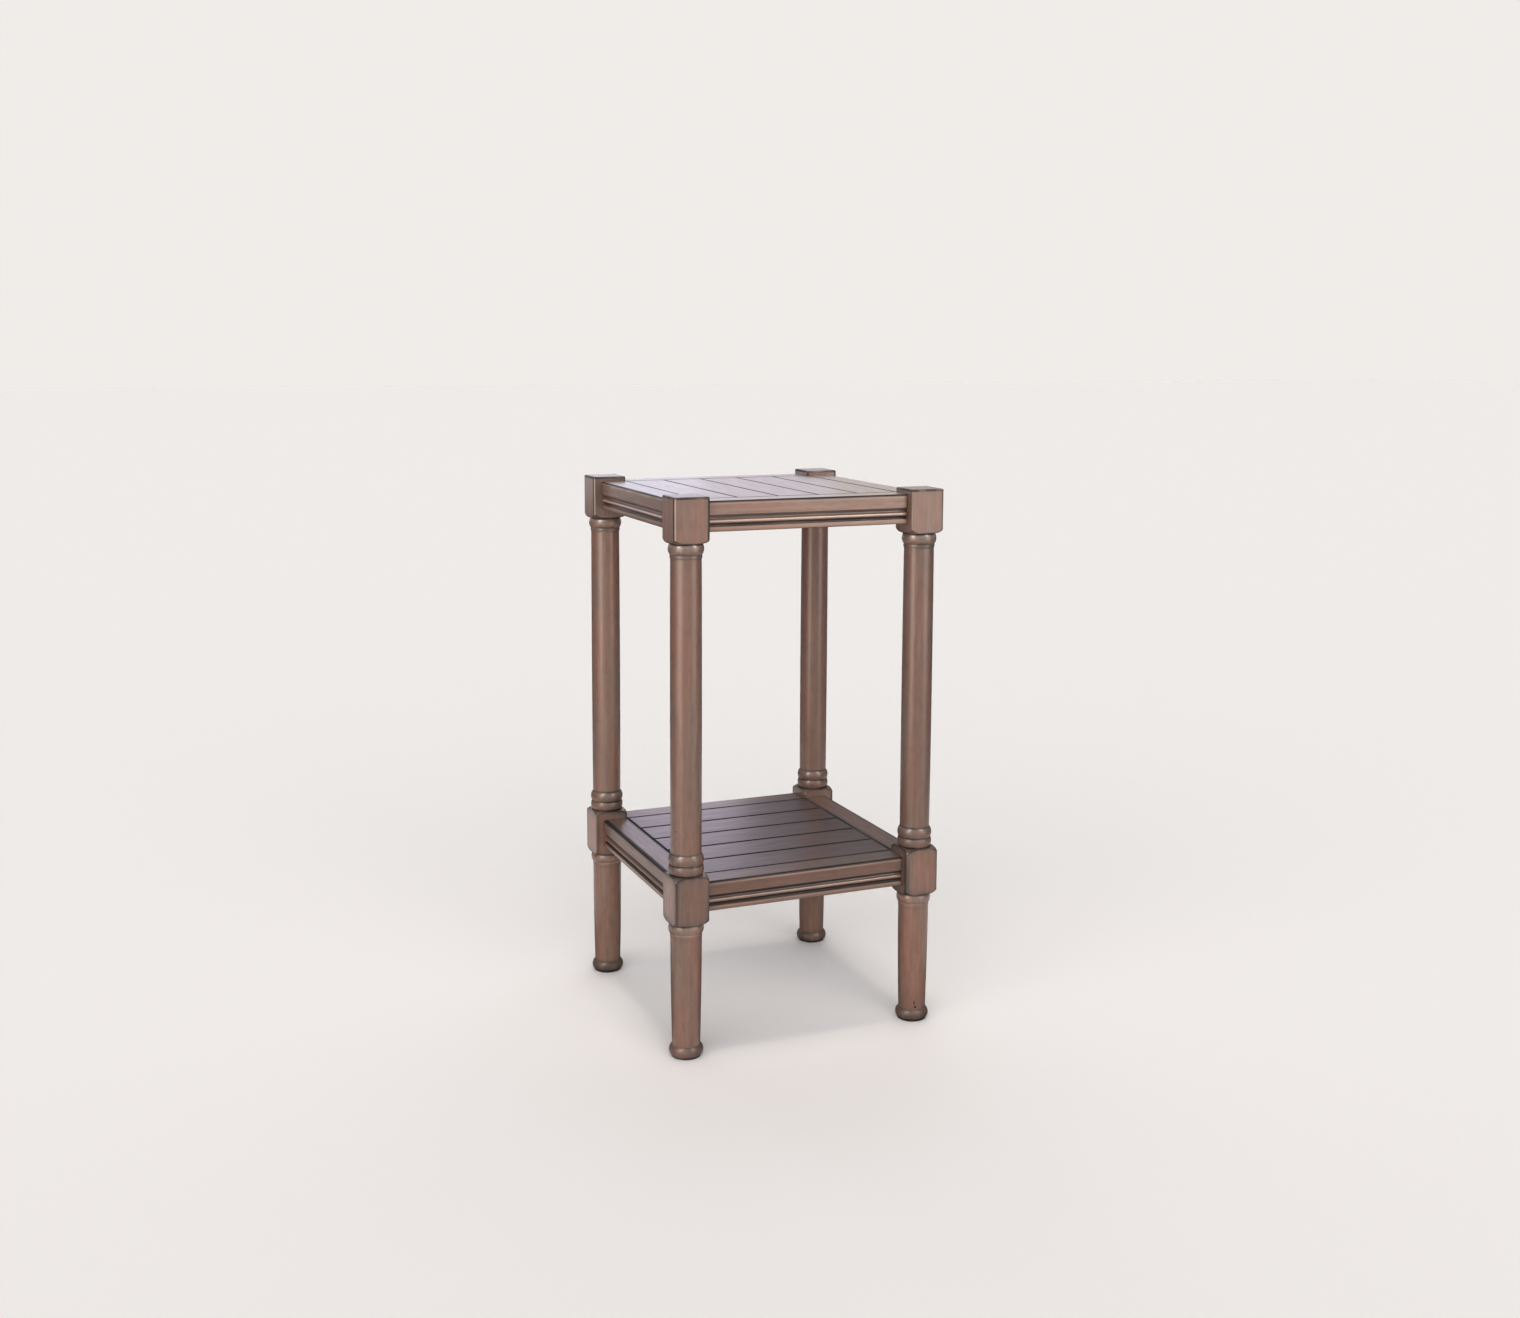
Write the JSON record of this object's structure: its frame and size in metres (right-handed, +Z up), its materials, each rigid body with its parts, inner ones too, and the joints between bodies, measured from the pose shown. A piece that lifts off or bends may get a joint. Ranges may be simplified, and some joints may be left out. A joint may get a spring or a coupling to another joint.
{
  "type": "accent table",
  "caption": "Tall square accent table of weathered brown wood: turned posts with square blocks carry a boarded top and a lower shelf over reeded rails.",
  "frame": {"origin": "on the floor under the centre of the table", "axes": "+Z up along the posts, front towards -Y, +X to the right seen from the front"},
  "size_m": [0.394, 0.394, 0.762],
  "materials": {
    "turned_posts": "weathered brown stain, satin lacquer",
    "top_boards": "weathered brown stain with dark glazed edges",
    "shelf_boards": "weathered brown stain with dark glazed edges",
    "rails": "weathered brown stain, dark glaze in the reeds",
    "bracing": "unfinished softwood",
    "screws": "zinc plated",
    "dowels": "bare beech",
    "glides": "black plastic"
  },
  "bodies": {
    "root": {"leg_front_left": "turned_posts", "leg_front_right": "turned_posts", "leg_back_right": "turned_posts", "leg_back_left": "turned_posts", "glide_front_left": "glides", "glide_front_right": "glides", "glide_back_right": "glides", "glide_back_left": "glides", "top_plank_1": "top_boards", "top_plank_2": "top_boards", "top_plank_3": "top_boards", "top_plank_4": "top_boards", "top_plank_5": "top_boards", "top_border_front": "top_boards", "top_border_right": "top_boards", "top_border_back": "top_boards", "top_border_left": "top_boards", "top_rail_front": "rails", "top_rail_right": "rails", "top_rail_back": "rails", "top_rail_left": "rails", "top_batten_front": "bracing", "top_batten_back": "bracing", "top_corner_block_front_left": "bracing", "top_corner_block_front_right": "bracing", "top_corner_block_back_right": "bracing", "top_corner_block_back_left": "bracing", "top_batten_screws": "screws", "top_corner_screws": "screws", "top_dowels": "dowels", "shelf_plank_1": "shelf_boards", "shelf_plank_2": "shelf_boards", "shelf_plank_3": "shelf_boards", "shelf_plank_4": "shelf_boards", "shelf_plank_5": "shelf_boards", "shelf_border_front": "shelf_boards", "shelf_border_right": "shelf_boards", "shelf_border_back": "shelf_boards", "shelf_border_left": "shelf_boards", "shelf_rail_front": "rails", "shelf_rail_right": "rails", "shelf_rail_back": "rails", "shelf_rail_left": "rails", "shelf_batten_left": "bracing", "shelf_batten_right": "bracing", "shelf_corner_block_front_left": "bracing", "shelf_corner_block_front_right": "bracing", "shelf_corner_block_back_right": "bracing", "shelf_corner_block_back_left": "bracing", "shelf_batten_screws": "screws", "shelf_corner_screws": "screws", "shelf_dowels": "dowels"}
  },
  "joints": []
}
